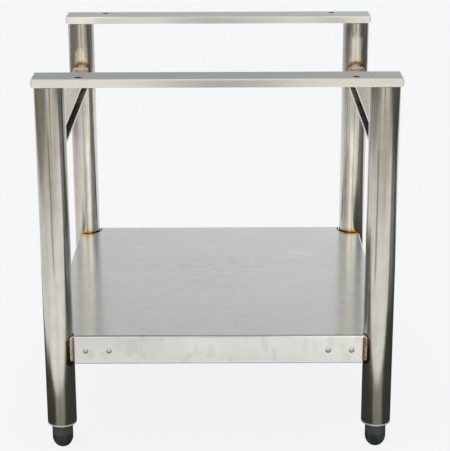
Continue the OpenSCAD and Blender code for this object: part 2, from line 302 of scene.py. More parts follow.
def make_key_lamp():
    """Soft light from far off, so that the floor is lit evenly."""
    data = bpy.data.lights.new("key", "SUN")
    data.angle = math.radians(KEY_SPREAD_DEG)
    data.energy = KEY_STRENGTH
    piece = bpy.data.objects.new("key", data)
    piece.rotation_euler = Vector(KEY_TOWARD).to_track_quat("-Z", "Y").to_euler()
    piece.visible_glossy = False
    bpy.context.scene.collection.objects.link(piece)


def only_in_reflections(piece):
    """A card that the steel mirrors, and that lights and hides nothing."""
    for ray in ("camera", "diffuse", "shadow", "transmission", "volume_scatter"):
        setattr(piece, "visible_" + ray, False)


# The room as the steel mirrors it: a floor that is dark under and beside the stand, pale in
# front of it and duller far off, four walls, a ceiling, and whoever stands before the stand.
CARD_Z = 0.0005
LEFT_WALL, RIGHT_WALL, FRONT_WALL, BACK_WALL = -1.95, 2.1, -4.2, 1.25
WALL_TOP = 2.5
LEFT_WALL_BACK, RIGHT_WALL_BACK, FLOOR_BACK = 1.0, 2.0, 3.5
FLOOR_BEYOND = 1.0
BACK_HALF_WIDTH, BACK_LOW = 1.6, 0.25
BODY_Y, BODY_HALF_WIDTH, BODY_TOP = -2.85, 0.4, 1.55

PALE_FLOOR = (0.94, 0.925, 0.885)
FAR_FLOOR = (0.60, 0.565, 0.49)
LEFT_FALL = (0.76, 0.78, 0.80)
LEFT_DARK = (0.20, 0.185, 0.16)
RIGHT_DARK = (0.105, 0.105, 0.094)
RIGHT_PATCH = (0.26, 0.26, 0.24)
RIGHT_SKIRTING = (0.075, 0.075, 0.068)
RIGHT_LIGHT = (0.26, 0.28, 0.31)
MAT_DARK = (0.050, 0.050, 0.043)
MAT_LIGHTER = (0.27, 0.255, 0.215)
FRONT_LIGHT = (0.86, 0.83, 0.76)
FRONT_GLARE = (2.0, 1.91, 1.67)
BACK_TINT = (0.985, 1.0, 1.0)
CEILING_LIGHT = (0.85, 0.85, 0.84)
BODY_DARK = (0.07, 0.075, 0.085)

# Where each tone of the floor starts and is full, in metres along the named axis
FAR_Y = (-1.40, -1.90)
FALL_X = (-0.5, -1.5)
LEFT_DARK_X, LEFT_DARK_SLANT = (-1.80, -2.00), 0.15
RIGHT_X, RIGHT_FRONT_Y, RIGHT_BACK_Y = (0.55, 0.75), (-0.643, -0.543), (0.74, 0.62)
RIGHT_END_X = (1.75, 2.25)
RIGHT_TURN_X, RIGHT_TURN_SLANT = 1.0, 0.6
PATCH_X, PATCH_Y = (0.95, 1.30), (0.02, -0.20)
MAT_FRONT_Y, MAT_BACK_Y = (-0.595, -0.571), (0.67, 0.57)
MAT_LEFT_X, MAT_RIGHT_X = (-0.85, -0.63), (1.05, 0.85)
MAT_SLANT = 0.065
MAT_CUT_X, MAT_CUT_SLANT = -0.30, -0.32
# In front of each leg the mat is less dark, in a patch that narrows towards it
LIGHTER_OFF_LEG, LIGHTER_SLANT, LIGHTER_EDGE = 0.02, 0.75, (0.04, -0.03)


def floor_colour(s, x, y, z):
    colour = s.mix(s.step(y, *FAR_Y), PALE_FLOOR, FAR_FLOOR)
    colour = s.tint(s.step(x, *FALL_X), colour, LEFT_FALL)
    left = s.math("MULTIPLY_ADD", y, LEFT_DARK_SLANT, x)
    colour = s.mix(s.step(left, *LEFT_DARK_X), colour, LEFT_DARK)
    # Right of the stand the dark runs on, and its front edge turns forward
    turned = s.math("MAXIMUM", s.math("SUBTRACT", x, RIGHT_TURN_X), 0.0)
    edge = s.math("MULTIPLY_ADD", turned, RIGHT_TURN_SLANT, y)
    right = s.both(s.step(edge, *RIGHT_FRONT_Y), s.step(x, *RIGHT_X))
    right = s.math("MAXIMUM", right, s.step(x, *RIGHT_END_X))
    right = s.both(right, s.step(y, *RIGHT_BACK_Y))
    patch = s.both(s.step(x, *PATCH_X), s.step(y, *PATCH_Y))
    colour = s.mix(right, colour, s.mix(patch, RIGHT_DARK, RIGHT_PATCH))
    # The mat, with a cut corner at the left
    corner = s.math("MAXIMUM", s.math("SUBTRACT", MAT_CUT_X, x), 0.0)
    front = s.math("MULTIPLY_ADD", x, MAT_SLANT, s.math("MULTIPLY_ADD", corner, MAT_CUT_SLANT, y))
    on_mat = s.both(s.step(front, *MAT_FRONT_Y), s.step(x, *MAT_LEFT_X),
                    s.step(y, *MAT_BACK_Y), s.step(x, *MAT_RIGHT_X))
    off_leg = s.away(s.math("ABSOLUTE", x), LEG_X + LIGHTER_OFF_LEG)
    reach = s.math("MULTIPLY", s.math("SUBTRACT", -LEG_Y - LEG_R, y), LIGHTER_SLANT)
    lighter = s.step(s.math("SUBTRACT", off_leg, reach), *LIGHTER_EDGE)
    return s.mix(on_mat, colour, s.mix(lighter, MAT_DARK, MAT_LIGHTER))


# How the walls' tones run along X, Y or Z: from where to where, and the values there if they
# aren't 0 and 1
BACK_RISE_Z, BACK_FADE_Z = (0.50, 0.80, 0.645, 1.0), (0.80, 1.22, 1.0, 0.18)
BACK_SLOPE_X = (-0.5, 0.5, 0.90, 1.04)
BACK_LAMP_X, BACK_LAMP_Z = (0.30, 0.55, 0.0, 0.34), (0.84, 0.95)
GLOW_Z, GLOW_Y = (1.05, 1.25, 0.0, 0.4), (-1.2, -1.5)
SKIRTING_Z = (0.1, 0.7)
WINDOW_Z, WINDOW_Y = (0.7, 0.9), (-1.2, -1.5)
LEFT_LIGHT_Z = (0.3, 1.2)
GLARE_LOW_Z, GLARE_HIGH_Z = (0.95, 0.45), (1.35, 1.55, 0.0, 0.40)
CORNER_X, CORNER_Z = (1.6, 2.1), (0.9, 0.7)
BODY_X, BODY_BLUR_X = 0.012, (0.28, 0.10)


def back_colour(s, x, y, z):
    """Duller higher up and to the left, where the rails mirror it, and a little duller low
    down, where the back of the shelf does."""
    level = s.both(s.map(z, *BACK_RISE_Z, smooth=True), s.map(z, *BACK_FADE_Z, smooth=True))
    lamp = s.both(s.map(x, *BACK_LAMP_X), s.map(z, *BACK_LAMP_Z))
    slope = s.math("ADD", s.map(x, *BACK_SLOPE_X), lamp)
    return s.times(s.grey(s.both(level, slope)), BACK_TINT)


def lamp_glow(s, y, z):
    """The lamps over the front of the room brighten the side walls high up."""
    return s.both(s.map(z, *GLOW_Z, smooth=True), s.step(y, *GLOW_Y))


def right_colour(s, x, y, z):
    colour = s.mix(s.step(z, *SKIRTING_Z), RIGHT_SKIRTING, RIGHT_LIGHT)
    window = s.both(s.step(z, *WINDOW_Z), s.step(y, *WINDOW_Y))
    return s.mix(lamp_glow(s, y, z), s.mix(window, colour, FRONT_LIGHT), FRONT_GLARE)


def left_colour(s, x, y, z):
    colour = s.mix(s.step(z, *LEFT_LIGHT_Z), LEFT_DARK, FRONT_LIGHT)
    return s.mix(lamp_glow(s, y, z), colour, FRONT_GLARE)


def front_colour(s, x, y, z):
    """Glaring low down and high up, and dull in its lower corners."""
    glare = s.math("ADD", s.step(z, *GLARE_LOW_Z), s.map(z, *GLARE_HIGH_Z, smooth=True))
    corner = s.both(s.map(s.math("ABSOLUTE", x), *CORNER_X), s.map(z, *CORNER_Z))
    return s.mix(corner, s.mix(glare, FRONT_LIGHT, FRONT_GLARE), RIGHT_LIGHT)


def body_mask(s, x, y, z):
    """Whoever stands before the stand blurs out to both sides."""
    return s.step(s.away(x, BODY_X), *BODY_BLUR_X)


def make_cards():
    room = (LEFT_WALL - FLOOR_BEYOND, FRONT_WALL, RIGHT_WALL + FLOOR_BEYOND, FLOOR_BACK)
    front = (LEFT_WALL, FRONT_WALL, RIGHT_WALL, FRONT_WALL, 0, WALL_TOP)
    back = (-BACK_HALF_WIDTH, BACK_WALL, BACK_HALF_WIDTH, BACK_WALL, BACK_LOW, WALL_TOP)
    left = (LEFT_WALL, FRONT_WALL, LEFT_WALL, LEFT_WALL_BACK, 0, WALL_TOP)
    right = (RIGHT_WALL, FRONT_WALL, RIGHT_WALL, RIGHT_WALL_BACK, 0, WALL_TOP)
    body = (-BODY_HALF_WIDTH, BODY_Y, BODY_HALF_WIDTH, BODY_Y, 0, BODY_TOP)
    for name, corners, tone, mask_of in (
            ("floor_card", level_corners(*room, CARD_Z), floor_colour, None),
            ("ceiling_card", level_corners(*room, WALL_TOP), CEILING_LIGHT, None),
            ("front_card", upright_corners(*front), front_colour, None),
            ("back_card", upright_corners(*back), back_colour, None),
            ("left_card", upright_corners(*left), left_colour, None),
            ("right_card", upright_corners(*right), right_colour, None),
            ("body_card", upright_corners(*body), BODY_DARK, body_mask)):
        only_in_reflections(flat_object(name, corners, card_material(name, tone, mask_of)))


make_floor()
make_world()
make_cards()
make_key_lamp()


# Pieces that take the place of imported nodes

def replacement(node, name, points, faces, material, body, slot, sharp_angle):
    """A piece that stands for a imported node, smooth but for edges sharper than sharp_angle."""
    piece = add_object(name, points, faces, material)
    mesh = piece.data
    mesh.validate()
    mesh.polygons.foreach_set("use_smooth", [True] * len(mesh.polygons))
    mesh.set_sharp_from_angle(angle=math.radians(sharp_angle))
    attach(piece, body)
    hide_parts(node)


def between(a, b, part):
    """Unit vector part of the way round from a to b."""
    angle = a.angle(b)
    return (a * math.sin((1 - part) * angle) + b * math.sin(part * angle)) / math.sin(angle)


# Rows of points to a ripple, the share of it that is steep, how far it bows along the seam in
# ripples, and how much their sizes vary
RIPPLE = 1.35 * MM
RIPPLE_STEPS = 6
RIPPLE_FRONT = 0.25
RIPPLE_BOW = 0.55
RIPPLE_SWELL = (0.93, 1.0)
# Steps across a bead, how deep it sits, how much flatter its crown is, over how many of its
# sizes its ends taper, and the least that it stands out
BEAD_ARC = 8
BEAD_SINK = 0.25 * MM
BEAD_FLATNESS = 0.20
BEAD_TAPER = 1.1
BEAD_LEAST = 0.02 * MM
BEAD_LEAST_STEPS = 12


def weld_bead(random, seam, length, size, relief=0.14):
    """Rippled fillet along a seam. seam(part) gives the root point and the two directions
    in which the joined faces run away from it. relief is how deep the ripples are, as a share
    of the bead's size."""
    points, faces = [], []
    steps = max(BEAD_LEAST_STEPS, round(length / RIPPLE * RIPPLE_STEPS))
    start = random.random()
    swell = [random.uniform(*RIPPLE_SWELL) for _ in range(steps // RIPPLE_STEPS + 4)]
    row = BEAD_ARC + 2
    for i in range(steps + 1):
        part = i / steps
        root, along_a, along_b = seam(part)
        from_end = min(part, 1 - part) * length
        inward = min(1.0, from_end / (BEAD_TAPER * size))
        taper = math.sqrt(max(0.0, 1 - (1 - inward) ** 2))
        for j in range(BEAD_ARC + 1):
            across = j / BEAD_ARC
            arch = math.sin(math.pi * across)
            phase = part * length / RIPPLE + start + RIPPLE_BOW * arch
            wave = phase - math.floor(phase)
            scallop = 1 - (1 - wave) ** 2 if wave > RIPPLE_FRONT else wave * (2 - RIPPLE_FRONT)
            ripple = 1 - relief * (1 - scallop)
            size_here = size * swell[int(phase)] * ripple * (1 - BEAD_FLATNESS * arch)
            out = between(along_a, along_b, across)
            points.append(root + out * max(size_here * taper, BEAD_LEAST))
        points.append(root - (along_a + along_b).normalized() * BEAD_SINK)
    for i in range(steps):
        for j in range(row):
            k = (j + 1) % row
            faces.append((i * row + j, i * row + k, (i + 1) * row + k, (i + 1) * row + j))
    faces.append(tuple(range(row)))
    faces.append(tuple(steps * row + j for j in reversed(range(row))))
    return points, faces


def joined(parts):
    points, faces = [], []
    for part_points, part_faces in parts:
        start = len(points)
        points += part_points
        faces += [tuple(start + i for i in face) for face in part_faces]
    return points, faces


UP = Vector((0, 0, 1))


def ring_seam(axis, middle, half_angle, z, along_leg):
    """Seam round a leg, on a level face at height z. middle is the angle it is centred on."""
    def seam(part):
        angle = middle + (2 * part - 1) * half_angle
        radial = Vector((math.cos(angle), math.sin(angle), 0))
        return axis + radial * LEG_R + UP * z, radial, along_leg
    return seam


def upright_seam(axis, root, face_direction, low, high):
    """Seam up a leg, where a flat face that runs along face_direction meets it at root."""
    radial = (root - axis).normalized()
    tangent = radial.cross(UP)
    if tangent.dot(face_direction) > 0:
        tangent = -tangent

    def seam(part):
        return root + UP * (low + (high - low) * part), face_direction, tangent
    return seam


SIDE_BEAD = 3.1 * MM
BRACKET_BEAD = 4.2 * MM
BRACKET_BEAD_RELIEF = 0.07
RAIL_BEAD = 1.7 * MM
RAIL_BEAD_HALF_ANGLE = math.radians(14)


def side_rail_beads(random):
    """Along the top and bottom of each side channel's end, and up its outer face."""
    parts = []
    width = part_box("side_rail_right")[1].x - LEG_X
    half = math.asin(width / LEG_R)
    for corner, sx, sy in CORNERS:
        axis = leg_axis(corner)
        middle = -sy * math.pi / 2
        length = 2 * half * LEG_R
        for z, along in ((SIDE_TOP, UP), (SIDE_LOW, -UP)):
            seam = ring_seam(axis, middle, half, z, along)
            parts.append(weld_bead(random, seam, length, SIDE_BEAD))
        root = axis + Vector((sx * width, -sy * math.sqrt(LEG_R ** 2 - width ** 2), 0))
        seam = upright_seam(axis, root, Vector((0, -sy, 0)), SIDE_LOW, SIDE_TOP)
        parts.append(weld_bead(random, seam, SIDE_TOP - SIDE_LOW, SIDE_BEAD))
    return parts


def shelf_angle_beads(random):
    """Up the outer face of each corner angle, where it meets the leg."""
    parts = []
    for corner, sx, sy in CORNERS:
        axis = leg_axis(corner)
        low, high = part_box("shelf_bracket_" + corner)
        face_y = high.y if sy > 0 else low.y
        off = face_y - axis.y
        root = axis + Vector((-sx * math.sqrt(LEG_R ** 2 - off ** 2), off, 0))
        seam = upright_seam(axis, root, Vector((-sx, 0, 0)), low.z, high.z)
        parts.append(weld_bead(random, seam, high.z - low.z, BRACKET_BEAD, BRACKET_BEAD_RELIEF))
    return parts


def top_rail_beads(random):
    """Short welds under each top rail, on the front and the back of each leg."""
    parts = []
    for corner, _, _ in CORNERS:
        for middle in (math.pi / 2, -math.pi / 2):
            seam = ring_seam(leg_axis(corner), middle, RAIL_BEAD_HALF_ANGLE, RAIL_LOW, -UP)
            parts.append(weld_bead(random, seam, 2 * RAIL_BEAD_HALF_ANGLE * LEG_R, RAIL_BEAD))
    return parts


THREAD_PITCH = 1.75 * MM
THREAD_SIDES = 28
THREAD_DEPTH = 0.55 * THREAD_PITCH
# One turn's outline: shares of the pitch, and of the depth
THREAD_OUTLINE = ((0.0, 1.0), (0.12, 1.0), (0.36, 0.0), (0.48, 0.0))


def threaded_stud(node):
    """Stud with a helical thread, as long and as thick as the plain one."""
    low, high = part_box(node)
    middle = (low + high) / 2
    radius = (high.x - low.x) / 2
    row = len(THREAD_OUTLINE)
    turns = math.ceil((high.z - low.z) / THREAD_PITCH) + 1
    count = turns * THREAD_SIDES
    points, faces = [], []
    for i in range(count + 1):
        angle = 2 * math.pi * i / THREAD_SIDES
        base = low.z + (i / THREAD_SIDES - 1) * THREAD_PITCH
        for part, depth in THREAD_OUTLINE:
            z = base + part * THREAD_PITCH
            to_end = min(max(min(z - low.z, high.z - z), 0) / THREAD_PITCH, 1)
            r = radius - THREAD_DEPTH * max(depth, 1 - to_end)
            z = min(max(z, low.z), high.z)
            points.append(Vector((middle.x + r * math.cos(angle),
                                  middle.y + r * math.sin(angle), z)))
    # A turn's last ring of points joins the next turn's first
    for i in range(count - THREAD_SIDES + 1):
        for j in range(row):
            a, b = i * row + j, (i + 1) * row + j
            if j < row - 1:
                faces.append((a, b, b + 1, a + 1))
            elif i < count - THREAD_SIDES:
                c, d = (i + THREAD_SIDES) * row, (i + THREAD_SIDES + 1) * row
                faces.append((a, b, d, c))
    bottom, top = len(points), len(points) + 1
    points += [Vector((middle.x, middle.y, low.z)), Vector((middle.x, middle.y, high.z))]
    for i in range(THREAD_SIDES):
        faces.append(((i + 1) * row, i * row, bottom))
        end = count - THREAD_SIDES + i - THREAD_SIDES
        faces.append((end * row + row - 1, (end + 1) * row + row - 1, top))
    return points, faces


# Materials

# Colours by heat, from 0 to 1, beside a weld
TINTS = [(0.0, (1.0, 1.0, 1.0)), (0.14, (1.0, 0.95, 0.82)), (0.28, (0.95, 0.74, 0.46)),
         (0.38, (0.66, 0.42, 0.21)), (0.47, (0.36, 0.24, 0.16)), (0.76, (0.36, 0.26, 0.21)),
         (0.88, (0.60, 0.55, 0.51)), (1.0, (0.74, 0.70, 0.66))]
# Beside the corner angles' long, hot welds the tint is nearly black
BURNT = [(0.0, (1.0, 1.0, 1.0)), (0.16, (0.97, 0.94, 0.84)), (0.34, (0.78, 0.68, 0.50)),
         (0.46, (0.44, 0.35, 0.25)), (0.60, (0.26, 0.19, 0.14)), (1.0, (0.26, 0.19, 0.14))]
# Counts of grain lines or smudges are to a metre, along X, Y and Z
HEAT_FLAMES, HEAT_RAGGED = (160, 160, 160), 0.5
SMEAR, MOTTLE = (9, 9, 9), (45, 45, 32)
# Broad grain lines beside the fine ones: their share of the count, and their strength
BROAD_COUNT, BROAD_STREAK = 0.22, 1.2
SMEAR_SHINE = 0.06
GRAIN_HEIGHT = 0.04 * MM
FOLD_BLEND = 0.1 * MM


def distance_to_box(s, point, middle, half):
    """Distance in metres from point to a box given by its middle and half its size."""
    away = s.vector("SUBTRACT", s.vector("ABSOLUTE", s.vector("SUBTRACT", point, middle)), half)
    return s.vector("LENGTH", s.vector("MAXIMUM", away, (0, 0, 0)))


def distance_level(s, point, at):
    """Distance from point to an upright line through at."""
    return s.vector("LENGTH", s.vector("MULTIPLY_ADD", point, (1, 1, 0), (-at[0], -at[1], 0)))


def heat(s, point, seams):
    """How hot each point became beside its seams, from 0 to 1. A seam is a box's middle and
    half size, the reach of its tint, the most heat, and the share of the reach that has it."""
    total = None
    flames = s.noise(s.stretch(point, HEAT_FLAMES), detail=3)
    for middle, half, reach, most, even in seams:
        off = s.math("ADD", distance_to_box(s, point, middle, half),
                     s.swing(flames, reach * HEAT_RAGGED))
        one = s.map(off, reach * even, reach, most, 0.0)
        total = one if total is None else s.math("MAXIMUM", total, one)
    return total


def unfolded(s, point, fold):
    """point, with what lies beyond X = fold laid level, so that height counts as X there."""
    parts = s.parts(point)
    aside = s.map(s.math("ABSOLUTE", parts["X"]), fold - FOLD_BLEND, fold)
    along = s.math("MULTIPLY_ADD", s.math("MULTIPLY", aside, parts["Z"]), -1.0, parts["X"])
    level = s.math("MULTIPLY", parts["Z"], s.math("SUBTRACT", 1.0, aside))
    return s.node("CombineXYZ", {0: along, 1: parts["Y"], 2: level}).outputs[0]


def steel(name, tone, rough, grain, seams=(), burnt=(), cloud=0.10, streak=0.16, extra=None,
          brushed=None, stretch=0.0, relief=0.25, metallic=1.0, fold=None, shine=0.10,
          mottle=0.0):
    """Stainless steel. grain is the count of grain lines, and relief their depth. brushed is
    the axis that they run along, across which reflections blur by stretch. streak, cloud and
    mottle are how much the grain, broad smudges and small ones change the tone, and shine how
    much the grain changes the roughness. seams and burnt are the seams that leave TINTS and
    BURNT. extra(s, point, look) changes the look, a dictionary of the surface's inputs. fold is
    the X beyond which the sheet is folded down, with its grain."""
    material, s = new_material(name)
    point = s.node("TexCoord").outputs["Object"]
    flat = unfolded(s, point, fold) if fold else point
    fine = s.noise(s.stretch(flat, grain), detail=3, roughness=0.6)
    broad_grain = tuple(count * BROAD_COUNT for count in grain)
    broad = s.noise(s.stretch(flat, broad_grain, (3.1, 1.7, 5.3)), detail=2)
    smear = s.noise(s.stretch(point, SMEAR, (0.4, 7.7, 2.9)), detail=3, roughness=0.55)
    lines = s.math("ADD", s.swing(fine, streak), s.swing(broad, streak * BROAD_STREAK))
    smudge = s.swing(smear, cloud)
    if mottle:
        small = s.noise(s.stretch(point, MOTTLE, (5.5, 0.9, 3.3)), detail=2, roughness=0.6)
        smudge = s.math("ADD", smudge, s.swing(small, mottle))
    level = s.math("ADD", s.math("ADD", lines, smudge), 1.0)
    colour = s.times(tone, s.grey(level))
    for hot, tints in ((seams, TINTS), (burnt, BURNT)):
        if hot:
            colour = s.times(colour, s.ramp(heat(s, point, hot), tints))
    gloss = s.math("ADD", s.swing(fine, shine), s.swing(smear, SMEAR_SHINE))
    bump = s.node("Bump", {"Strength": relief, "Distance": GRAIN_HEIGHT, "Height": fine})
    look = {"Base Color": colour, "Metallic": metallic, "Roughness": s.math("ADD", gloss, rough),
            "Normal": bump.outputs[0], "Anisotropic": stretch}
    if extra:
        extra(s, point, look)
    if brushed:
        normal = s.node("NewGeometry").outputs["True Normal"]
        look["Tangent"] = s.vector("NORMALIZE", s.vector("CROSS_PRODUCT", normal, brushed))
    s.principled(look)
    return material


# Grime and painted shade in channels, holes and gaps: its roughness, patches and colours
DARK_COVER_ROUGH = 0.95
INSIDE_PATCHES = (60, 60, 60)
INSIDE_GRIME_AND_SHADE = [(0.42, (0.008, 0.010, 0.010)), (0.62, (0.060, 0.048, 0.036))]
BROWN_SCALE = [(0.40, (0.060, 0.046, 0.032)), (0.60, (0.19, 0.15, 0.115))]
SCALED_Y = (0.09, 0.15)
# Grime and painted shade on the bolt holes' walls
HOLE_PAINTED_SHADE = (0.06, 0.052, 0.045)
# Painted shade in the gaps of the shelf's notches
NOTCH_PAINTED_SHADE = (0.010, 0.009, 0.007)
INSIDE_BLEND = 0.2 * MM


def soil_and_shade(s, look, where, colour):
    """Covers the steel with a dull dark colour where the mask is 1: grime, and painted shade in
    recesses and gaps.
    """
    look["Base Color"] = s.mix(where, look["Base Color"], colour)
    look["Roughness"] = s.map(where, 0.0, 1.0, look["Roughness"], DARK_COVER_ROUGH)
    look["Metallic"] = s.map(where, 0.0, 1.0, look["Metallic"], 0.0)


def soil_and_shade_inside(s, point, look, middle, half, scaled=False):
    """Darkens the steel inside a box with a channel's grime and painted shade. Where it is scaled,
    mill scale takes over towards the back."""
    away = s.parts(s.vector("SUBTRACT", s.vector("ABSOLUTE", s.vector("SUBTRACT", point, middle)),
                            half))
    outside = s.math("MAXIMUM", away["X"], s.math("MAXIMUM", away["Y"], away["Z"]))
    patches = s.noise(s.stretch(point, INSIDE_PATCHES), detail=3)
    inside_dark = s.ramp(patches, INSIDE_GRIME_AND_SHADE)
    if scaled:
        inside_dark = s.mix(s.map(s.parts(point)["Y"], *SCALED_Y), inside_dark, s.ramp(patches, BROWN_SCALE))
    soil_and_shade(s, look, s.map(outside, 0.0, -INSIDE_BLEND), inside_dark)


def inside_of(node, off_low, off_high):
    """Middle and half size of a node's box, with so much taken off its low and high sides."""
    low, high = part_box(node)
    low, high = low + Vector(off_low), high - Vector(off_high)
    return (low + high) / 2, (high - low) / 2


def dress(node, material):
    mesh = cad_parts[node].data
    mesh.materials.clear()
    mesh.materials.append(material)


ALONG_X = (3, 700, 700)
ALONG_Y = (700, 3, 700)
ALONG_Z = (420, 420, 2.5)
EVEN_GRAIN = (900, 900, 900)
# Grain directions, tilted a little so that they cross every face's normal
X_AXIS, Y_AXIS = (1, 0, 0.01), (0, 1, 0.01)
LEG_TONE = (0.655, 0.64, 0.60)
RAIL_TONE = (0.765, 0.76, 0.74)
SIDE_TONE = (0.90, 0.885, 0.84)
SHELF_TONE = (0.885, 0.903, 0.905)
SCREW_TONE = (0.68, 0.68, 0.665)
ZINC_TONE = (0.74, 0.75, 0.77)
CHANNEL_SHEET, RAIL_SHEET = 1.5 * MM, 1.2 * MM
# Share of a sheet's thickness that its inner side's grime and painted shade start within
DARK_INSIDE_SHARE = 0.8


# Top rails

# The bolt holes, from the leg axes in along X and out along Y
HOLE_IN, HOLE_OUT, HOLE_R = 49 * MM, 13 * MM, 6 * MM
HOLE_WALL = (HOLE_R + 0.3 * MM, HOLE_R + 0.1 * MM)
BELOW_TOP_Z = (RAIL_TOP - 0.12 * MM, RAIL_TOP - 0.22 * MM)
# How far inside their faces the ends' caps are scuffed, and how metallic that leaves them
CAP_IN, CAP_METALLIC = (2.2 * MM, 1.2 * MM), 0.25
# Painted shade and light on the faces, where their reflections are darker or brighter: the
# middle and half width in X, and how much of the tone they keep
RAIL_PAINTED_SHADE_AND_LIGHT = {"front": [(-0.29, 0.19, 0.915), (0.29, 0.17, 0.905)],
               "back": [(-0.243, 0.066, 1.26), (0.236, 0.045, 1.10), (-0.03, 0.10, 0.94)]}


def rail_finish(end):
    """Darkens the channel's inside and the walls of its holes with grime and painted shade, scuffs
    its end caps, and paints shade and light on its faces."""
    node = "top_rail_" + end
    wall = RAIL_SHEET * DARK_INSIDE_SHARE
    inside = inside_of(node, (wall, wall, -wall), (wall, wall, wall))
    cap_x = [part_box(node)[1].x - off for off in CAP_IN]
    holes = [Vector((sx * (LEG_X - HOLE_IN), ENDS[end] * (LEG_Y + HOLE_OUT), 0))
             for sx in SIDES.values()]

    def extra(s, point, look):
        # Grime and painted shade inside the channel
        soil_and_shade_inside(s, point, look, *inside)
        parts = s.parts(point)
        cap = s.map(s.math("ABSOLUTE", parts["X"]), *cap_x)
        look["Metallic"] = s.both(look["Metallic"], s.map(cap, 0.0, 1.0, 1.0, CAP_METALLIC))
        below = s.map(parts["Z"], *BELOW_TOP_Z)
        # Painted shade and light on the faces
        for middle, half, gain in RAIL_PAINTED_SHADE_AND_LIGHT[end]:
            band = s.both(s.step(s.away(parts["X"], middle), half, 0.0), below)
            look["Base Color"] = s.tint(band, look["Base Color"], (gain,) * 3)
        # Grime and painted shade on the holes' walls
        for middle in holes:
            wall_mask = s.map(distance_level(s, point, middle), *HOLE_WALL)
            soil_and_shade(s, look, s.both(wall_mask, below), HOLE_PAINTED_SHADE)
    return extra


# Side rails

HEM_THICKNESS = 3.4 * MM
FLANGE_Z = (SIDE_TOP - 0.8 * MM, SIDE_TOP - 0.3 * MM)
FLANGE_OFF_HEM = (1.0 * MM, 2.5 * MM)
# Painted shade on the top flanges, darker on the right
FLANGE_PAINTED_SHADE = {"left": (0.84, 0.82, 0.79), "right": (0.66, 0.63, 0.57)}


def side_finish(side):
    """Darkens the inside of a side channel with grime and painted shade, and paints shade on its
    top flange as far as its hem.
    """
    node = "side_rail_" + side
    on_right = SIDES[side] > 0
    wall, hem = CHANNEL_SHEET * DARK_INSIDE_SHARE, HEM_THICKNESS / 2
    off_left, off_right = (hem, wall) if on_right else (wall, hem)
    inside = inside_of(node, (off_left, -wall, wall), (off_right, -wall, wall))
    hem_x = abs(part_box(node)[0 if on_right else 1].x)
    flange_x = [hem_x + off for off in FLANGE_OFF_HEM]

    def extra(s, point, look):
        parts = s.parts(point)
        # Painted shade on the top flange
        flange = s.both(s.map(parts["Z"], *FLANGE_Z),
                        s.map(s.math("ABSOLUTE", parts["X"]), *flange_x))
        look["Base Color"] = s.tint(flange, look["Base Color"], FLANGE_PAINTED_SHADE[side])
        # Grime and painted shade inside the channel, with mill scale
        soil_and_shade_inside(s, point, look, *inside, scaled=True)
    return extra


# Seams: half the size of each one's box, how far it lies from the weld, and the reach, most heat
# and even share of its tint, on the left (-1) and right (1) or at the channel's edges
SIDE_SEAM_HALF, SIDE_SEAM_ASIDE = Vector((0.001, 0.004, 0.001)), {-1: 0.002, 1: 0}
SIDE_SEAM_HEAT = {SIDE_LOW: (0.014, 1.0, 0.12), SIDE_TOP: (0.0185, 1.0, 0.27)}
ANGLE_SEAM_HALF, ANGLE_SEAM_IN, ANGLE_SEAM_DOWN = Vector((0.0005, 0.003, -0.007)), 0.0225, 0.004
ANGLE_SEAM_HEAT = {-1: (0.014, 1.0, 0.35), 1: (0.011, 1.0, 0.35)}
NOTCH_SEAM_HALF, NOTCH_SEAM_IN = Vector((0.008, 0.002, 0.0005)), 0.004
NOTCH_SEAM_HEAT = {-1: (0.016, 0.38, 0.0), 1: (0.016, 0.44, 0.0)}


def side_rail_seams(corner, sx, sy):
    """Where the side channel's end is welded to this leg. The heat stands higher in the
    middle of each weld, so that its tint is an arch."""
    at = leg_axis(corner) + Vector((SIDE_SEAM_ASIDE[sx], -sy * LEG_R, 0))
    return [(at + UP * z, SIDE_SEAM_HALF, *heat_there) for z, heat_there in SIDE_SEAM_HEAT.items()]


def shelf_angle_seams(corner, sx, sy):
    """Up the weld between this leg and its corner angle, short of its ends."""
    low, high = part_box("shelf_bracket_" + corner)
    at = Vector((leg_axis(corner).x - sx * ANGLE_SEAM_IN, sy * (SHELF_Y - CHANNEL_SHEET),
                 (low.z + high.z) / 2 - ANGLE_SEAM_DOWN))
    return [(at, ANGLE_SEAM_HALF + UP * (high.z - low.z) / 2, *ANGLE_SEAM_HEAT[sx])]


def notch_seams(corner, sx, sy):
    """Round the back legs at the shelf's top face, where the sheet was tacked to them."""
    if sy < 0:
        return []
    at = leg_axis(corner) + Vector((-sx * NOTCH_SEAM_IN, -sy * (LEG_R + MM), SHELF_TOP))
    return [(at, NOTCH_SEAM_HALF, *NOTCH_SEAM_HEAT[sx])]


# Legs

# Painted reflections, dark and light: bands up each leg, with the angle round it and half width
# in degrees, how much of the tone they keep, and lower and upper end. Those that keep more
# than 1 are paler and warmer.
LEG_REFLECTION_BANDS = {
    "front_left": [(-94, 2.8, 0.50, 0.30, 0.60), (-84, 1.2, 0.80, 0.40, 0.66),
                   (-20, 17, 0.60, 0.30, 0.70), (-32, 15, 0.42, 0.19, 0.34),
                   (-120, 7, 1.24, 0.43, 0.74), (-132, 9, 1.12, 0.30, 0.74)],
    "front_right": [(-114, 3.2, 0.42, 0.28, 0.57), (-88, 1.2, 0.80, 0.40, 0.66),
                    (-164, 6, 0.50, 0.34, 0.70), (-155, 17, 0.16, 0.19, 0.42),
                    (-152, 5, 0.62, 0.50, 0.70), (-139, 6, 1.22, 0.36, 0.54)],
    "back_left": [(-92, 1.4, 0.62, 0.24, 0.60), (-62, 8, 1.4, 0.24, 0.58),
                  (-71, 8, 1.45, 0.14, 0.44)],
    "back_right": [(-128, 2.4, 0.60, 0.22, 0.52), (-90, 1.2, 0.75, 0.24, 0.6),
                   (-98, 10, 1.52, 0.14, 0.46)],
}
BAND_COOL, BAND_WARM = (1, 1.01, 1.02), (1, 0.985, 0.93)
BAND_FADE = 0.06
